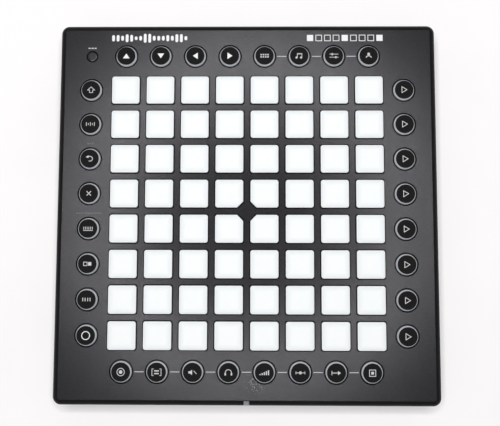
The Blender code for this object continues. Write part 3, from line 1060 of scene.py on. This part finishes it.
def tray(paint):
    """The lower case: filleted bottom edge, tapered wall, locating lip, and everything cut in it."""
    build = Build()
    low, rim = TRAY_LOW.z, SPLIT_Z - SEAM
    under = CASE_HALF - 1.5
    lip_out = CASE_HALF - WALL - 0.3
    lip_in = lip_out - 1.2
    profile = [
        (under - 6.0, low),
        (under - 1.6, low),
        (under, low + 1.6),
        (CASE_HALF, rim),
        (lip_out, rim),
        (lip_out, TRAY_HIGH.z),
        (lip_in, TRAY_HIGH.z),
        (lip_in, FLOOR_TOP),
    ]
    loops = []
    for half, z in fillet(profile[:4], 1.2, 4)[1:-1] + fillet(profile[2:], 0.3)[1:]:
        radius = max(CORNER_R - (CASE_HALF - half), 1.2)
        loops.append(build.loop(outline(half, radius, side=48, arc=5), z))
    build.stack(loops)
    made = build.piece("bottom_case_skin", "case", paint, slot="lower_shell", replaces=["bottom_case"])
    columns = Build()
    root = FLOOR_TOP - 0.6
    for place in four(SCREW_OUT):
        columns.turned([(LOWER_BOSS_R, root), (LOWER_BOSS_R, LOWER_BOSS_TOP)], place)
    for place, radius in posts():
        columns.turned([(radius, root), (radius, LOWER_POST_TOP)], place)
    apply_boolean(made, columns.finish("columns"), "UNION")
    cuts = Build()
    head, mouth = HEAD_HOLE_R, HEAD_HOLE_R + 0.3
    screw_hole = [(mouth, low - 1), (mouth, low), (head, low + 0.3), (head, HEAD_SEAT)]
    screw_hole += [(SHAFT_HOLE_R, HEAD_SEAT), (SHAFT_HOLE_R, LOWER_BOSS_TOP + 1.3)]
    for place in four(SCREW_OUT):
        cuts.turned(screw_hole, place)
    seat, mouth = FOOT_HOLE_R, FOOT_HOLE_R + 0.2
    for place in four(FOOT_OUT):
        cuts.turned([(mouth, low - 1), (mouth, low), (seat, low + 0.2), (seat, FOOT_SEAT)], place)
    guide = node_span("status_light_guide")
    notch = slab_outline(guide[1].x - guide[0].x + 0.6, 4.0, 0.2)
    place = (middle("status_light_guide").x, 3 - CASE_HALF)
    cuts.plate(notch, guide[0].z - 0.3, TRAY_HIGH.z + 1, centre=place)
    low_usb, high_usb = node_span("usb_socket")
    usb, size = (low_usb + high_usb) / 2, high_usb - low_usb
    lever = middle("power_switch_lever")
    holes = [
        slab_outline(size.x + 0.6, size.z + 0.6, 0.5, centre=(usb.x, usb.z)),
        slab_outline(6.9, 3.6, 0.6, centre=(lever.x + 1.25, lever.z)),
        slab_outline(7.0, 3.0, 0.7, centre=LOCK_SLOT),
    ]
    for name, radius in (("dc_power_socket", 4.7), ("midi_in_socket", 3.3), ("midi_out_socket", 3.3)):
        centre = Vector((middle(name).x, middle(name).z))
        holes.append([centre + p for p in ring_outline(radius)])
    for points in holes:
        cuts.forget()
        cuts.stack([cuts.upright(points, y) for y in (CASE_HALF - WALL - 6, CASE_HALF + 1)])
    apply_boolean(made, cuts.finish("tray_cuts"))


def feet(rubber):
    """Round feet with a soft edge and a shallow dish."""
    for name, (x, y) in corner_places(FOOT_OUT):
        node = f"rubber_foot_{name}"
        low, high = node_span(node)
        build = Build()
        wide = (high.x - low.x) / 2
        profile = [(wide, high.z), (wide, 0.7), (wide - 0.2, 0.25), (wide - 0.7, 0.0), (wide - 1.8, 0.0)]
        profile += [(wide - 2.1, 0.25), (wide - 3.0, 0.3)]
        build.turned(profile[::-1], (x, y))
        build.piece(f"{node}_skin", "case", rubber, slot="rubber", replaces=[node])


def corner_places(out):
    """Each corner's name and place."""
    return [
        (f"{'rear' if y > 0 else 'front'}_{'right' if x > 0 else 'left'}", (x, y)) for x, y in four(out)
    ]


def case_screws(steel):
    """Pan-head screws with a cross recess, heads down."""
    for name, (x, y) in corner_places(SCREW_OUT):
        node = f"case_screw_{name}"
        low, high = node_span(node)
        build = Build()
        head = [(1.6, low.z), (2.2, low.z + 0.12), (2.6, low.z + 0.45), (2.8, low.z + 0.95), (2.8, 4.9)]
        shaft = [(1.2, 4.9)]
        z = 5.4
        while z < high.z - 1.4:
            shaft += [(0.85, z), (1.2, z + 0.35)]
            z += 0.7
        shaft += [(0.85, z), (0.5, high.z)]
        build.turned(head + shaft, (x, y), 24)
        made = build.piece(f"{node}_skin", "case", steel, slot="steel", replaces=[node])
        cross = Build()
        for wide, deep in ((3.0, 0.62), (0.62, 3.0)):
            cross.plate(slab_outline(wide, deep, 0.08), low.z - 1, low.z + 0.9, centre=(x, y))
        tool = cross.finish("cross")
        step = tool.modifiers.new("join", "REMESH")
        step.mode = "VOXEL"
        step.voxel_size = 0.08 * MM
        apply_boolean(made, tool)


# -------------------- the rear


def usb_socket(steel, plastic, gold):
    """Square socket: folded shell, keyed mouth, and its tongue with four contacts."""
    low, high = node_span("usb_socket")
    x, z = (low.x + high.x) / 2, (low.z + high.z) / 2
    front, back, inside = high.y, low.y, high.y - 9.0
    wide, tall = high.x - low.x, high.z - low.z
    mouth = slab_outline(8.5, 7.8, 0.4, (1.6, 1.6, 0, 0))
    full = slab_outline(wide, tall, 0.6)
    build = Build()
    shell = [
        (full, back),
        (full, front - 0.25),
        (slab_outline(wide - 0.5, tall - 0.5, 0.5), front),
        (slab_outline(9.0, 8.3, 0.4, (1.75, 1.75, 0, 0)), front),
        (mouth, front - 0.3),
        (mouth, inside),
    ]
    build.stack([build.upright(points, y, (x, z)) for points, y in shell])
    build.piece("usb_socket_shell", "case", steel, slot="steel", replaces=["usb_socket"])
    build = Build()
    tongue = [(0.0, inside), (0.0, front - 1.9), (0.3, front - 1.6)]
    build.stack(
        [build.upright(slab_outline(5.6 - 2 * t, 3.2 - 2 * t, 0.35), y, (x, z + 0.05)) for t, y in tongue]
    )
    build.piece("usb_socket_tongue", "case", plastic)
    build = Build()
    for side in (-1, 1):
        for along in (-1.25, 1.25):
            corner = (x + along - 0.5, inside + 0.2, z + 0.05 + side * 1.62 - 0.05)
            build.block(corner, (corner[0] + 1.0, front - 2.3, corner[2] + 0.1), 0.03)
    build.piece("usb_socket_contacts", "case", gold)


def round_socket(name, half, seat, depth, nose, bore, black, bright, trim):
    """A block behind the wall and a round nose through it, bored, with an optional bright rim."""
    low, high = node_span(name)
    x, z, front = middle(name).x, middle(name).z, high.y
    build = Build()
    block = [outline(half - soft, 0.3) for soft in (0.2, 0, 0, 0.2)]
    rings = [(nose, seat), (nose, front - 0.35), (nose - 0.3, front), (trim, front)]
    rings += [(trim, front - 0.15), (bore + 0.12, front - 0.15), (bore, front - 0.4)]
    rings += [(bore, front - 2.5), (bore, front - depth)]
    loops = [build.upright(p, y, (x, z)) for p, y in zip(block, (low.y, low.y + 0.2, seat - 0.2, seat))]
    loops += [build.upright(ring_outline(r), y, (x, z)) for r, y in rings]
    build.stack(loops, [0] * 8 + [1] * 3 + [0])
    build.piece(f"{name}_body", "case", black, bright, slot="black_plastic", replaces=[name])


def rear_panel(black, steel, pale, gold):
    """Sockets, the slide switch and its ridged lever."""
    usb_socket(steel, pale, gold)
    seat = node_span("power_switch_body")[1].y
    round_socket("dc_power_socket", 4.9, seat, 12.0, 4.4, 3.2, black, black, 3.7)
    x, z = middle("dc_power_socket").x, middle("dc_power_socket").z
    pin = Build()
    front = node_span("dc_power_socket")[1].y
    pin.lying([(1.0, front - 12.0), (1.0, front - 1.6), (0.8, front - 1.2), (0.4, front - 1.0)], (x, z))
    pin.piece("dc_power_socket_pin", "case", steel)
    for name in ("midi_in_socket", "midi_out_socket"):
        round_socket(name, 3.6, seat, 11.0, 3.0, 1.85, black, steel, 2.45)

    low, high = node_span("power_switch_body")
    lever_low, lever_high = node_span("power_switch_lever")
    centre = ((low.x + high.x) / 2, (low.z + high.z) / 2)
    slot_z = (lever_low.z + lever_high.z) / 2 - centre[1]
    wide, tall = high.x - low.x, high.z - low.z
    full = slab_outline(wide, tall, 0.4)
    mouth = slab_outline(5.7, 2.8, 0.3, centre=(0, slot_z))
    build = Build()
    body = [(full, low.y), (full, high.y - 0.2), (slab_outline(wide - 0.4, tall - 0.4, 0.4), high.y)]
    body += [(mouth, high.y), (mouth, high.y - 3.6)]
    build.stack([build.upright(points, y, centre) for points, y in body])
    name = "power_switch_body"
    build.piece(f"{name}_skin", "case", steel, slot="black_plastic", replaces=[name])
    build = Build()
    end = lever_high.y
    points = [Vector((lever_low.x, lever_low.y)), Vector((lever_high.x, lever_low.y)),
              Vector((lever_high.x, end - 0.35))]
    step = (lever_high.x - lever_low.x) / 4
    for k in range(4):
        right = lever_high.x - k * step
        points += [Vector((right - 0.12, end)), Vector((right - step + 0.2, end)),
                   Vector((right - step + 0.08, end - 0.45))]
    points[-1] = Vector((lever_low.x, end - 0.35))
    build.plate(points, lever_low.z, lever_high.z)
    name = "power_switch_lever"
    build.piece(f"{name}_skin", name, black, slot="black_plastic", replaces=[name])


# -------------------- floor, light, camera


def floor():
    """Plain pale paper."""
    data = bpy.data.meshes.new("floor")
    build = bmesh.new()
    bmesh.ops.create_grid(build, x_segments=1, y_segments=1, size=4.0)
    build.to_mesh(data)
    build.free()
    paint = Paint("floor_paper", Roughness=0.9)
    paper = paint.spread(paint.noise(60, 3))
    paint.set("Base Color", paint.mix(paper, (0.945, 0.93, 0.937), (0.965, 0.95, 0.957)))
    data.materials.append(paint.material)
    placed("floor", data)


def sky():
    """Light from all around that fades upwards."""
    world = bpy.data.worlds.new("studio")
    bpy.context.scene.world = world
    world.use_nodes = True
    nodes, links = world.node_tree.nodes, world.node_tree.links
    split = nodes.new("ShaderNodeSeparateXYZ")
    links.new(nodes.new("ShaderNodeTexCoord").outputs["Generated"], split.inputs[0])
    fade = nodes.new("ShaderNodeMapRange")
    links.new(split.outputs[2], fade.inputs["Value"])
    for number, value in enumerate(SKY_HEIGHTS + SKY_STRENGTHS):
        fade.inputs[number + 1].default_value = value
    links.new(fade.outputs[0], nodes["Background"].inputs["Strength"])
    nodes["Background"].inputs["Color"].default_value = (1.0, 0.99, 0.99, 1)


def lamps():
    """The ring of soft lamps."""
    for number in range(LAMPS):
        turn = 2 * math.pi * number / LAMPS
        light = bpy.data.lights.new(f"lamp_{number + 1}", "AREA")
        light.shape = "RECTANGLE"
        light.size, light.size_y = LAMP_SIZE
        balance = 1 + TO_REAR * math.cos(turn) + TO_ENDS * math.cos(2 * turn) - TO_LEFT * math.sin(turn)
        light.energy = LAMP_POWER * balance
        lamp = placed(f"lamp_{number + 1}", light)
        x, y = LAMP_RING * math.sin(turn), LAMP_RING * math.cos(turn)
        lamp.location = (x + LAMP_SHIFT[0], y + LAMP_SHIFT[1], LAMP_HEIGHT)
        lamp.rotation_euler = (0, 0, -turn)


def viewpoint():
    """The camera above the face."""
    lens = bpy.data.cameras.new("camera")
    lens.lens = LENS
    lens.sensor_width = 36
    lens.clip_start = 0.01
    camera = placed("camera", lens)
    camera.location = CAMERA_PLACE
    camera.rotation_euler = [math.radians(angle) for angle in CAMERA_TURN]
    bpy.context.scene.camera = camera
    bpy.context.scene.view_settings.view_transform = "Standard"


def dress(name, material):
    """Gives a CAD node its finished material."""
    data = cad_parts[name].data
    data.materials.clear()
    data.materials.append(material)


floor()
sky()
lamps()
viewpoint()
FACE = face_paint()
BODY = moulded("case_black", (0.005, 0.005, 0.0055), (0.008, 0.008, 0.0085), (0.30, 0.38), 0.4, 0.012,
               Specular_IOR_Level=0.12)
TRAY = moulded("tray_black", (0.012, 0.012, 0.012), (0.018, 0.018, 0.018), (0.5, 0.62), 0.7, 0.03)
SOCKET = moulded("socket_black", (0.010, 0.010, 0.010), (0.016, 0.016, 0.016), (0.35, 0.45), 0.4, 0.01)
RUBBER = moulded("foot_rubber", (0.020, 0.020, 0.020), (0.032, 0.032, 0.032), (0.75, 0.9), 0.5, 0.03)
CAP = moulded("cap_black", (0.005, 0.005, 0.0053), (0.008, 0.008, 0.0083), (0.62, 0.7), 0.3, 0.01,
              Specular_IOR_Level=0.1)
# Dark silicone for the key sides below the face: a mask, and painted shade for the gaps round the keys.
MASK_AND_SHADE = moulded("silicone_mask_and_shade", (0.020, 0.020, 0.021), (0.028, 0.028, 0.029), (0.55, 0.65), 0.4, 0.01)
STEEL = metal_paint("plated_steel", (0.62, 0.62, 0.63), 0.3, (1, 0.1, 1))
GOLD = metal_paint("plated_gold", (0.83, 0.6, 0.25), 0.25)
PALE = moulded("tongue_white", (0.62, 0.61, 0.58), (0.68, 0.67, 0.64), (0.4, 0.5), 0.5, 0.01)
INK = print_paint("ink_white", (0.85, 0.85, 0.86))
INK_FINE = print_paint("ink_fine", (0.6, 0.6, 0.62))
INK_FAINT = print_paint("ink_faint", (0.12, 0.12, 0.13))

upper_case(FACE, BODY)
pad_rows(pad_paint(), MASK_AND_SHADE)
buttons(skirt_paint(), CAP, INK, INK_FINE, MASK_AND_SHADE)
setup_button(FACE)
face_prints(INK, INK_FINE, INK_FAINT)
dress("main_board", board_paint(node_span("main_board")[1].z - 1.1, node_span("main_board")[0].z + 1.4))
dress("pressure_sensor_film", film_paint())
dress("status_light_guide", guide_paint())
tray(TRAY)
feet(RUBBER)
case_screws(STEEL)
rear_panel(SOCKET, STEEL, PALE, GOLD)
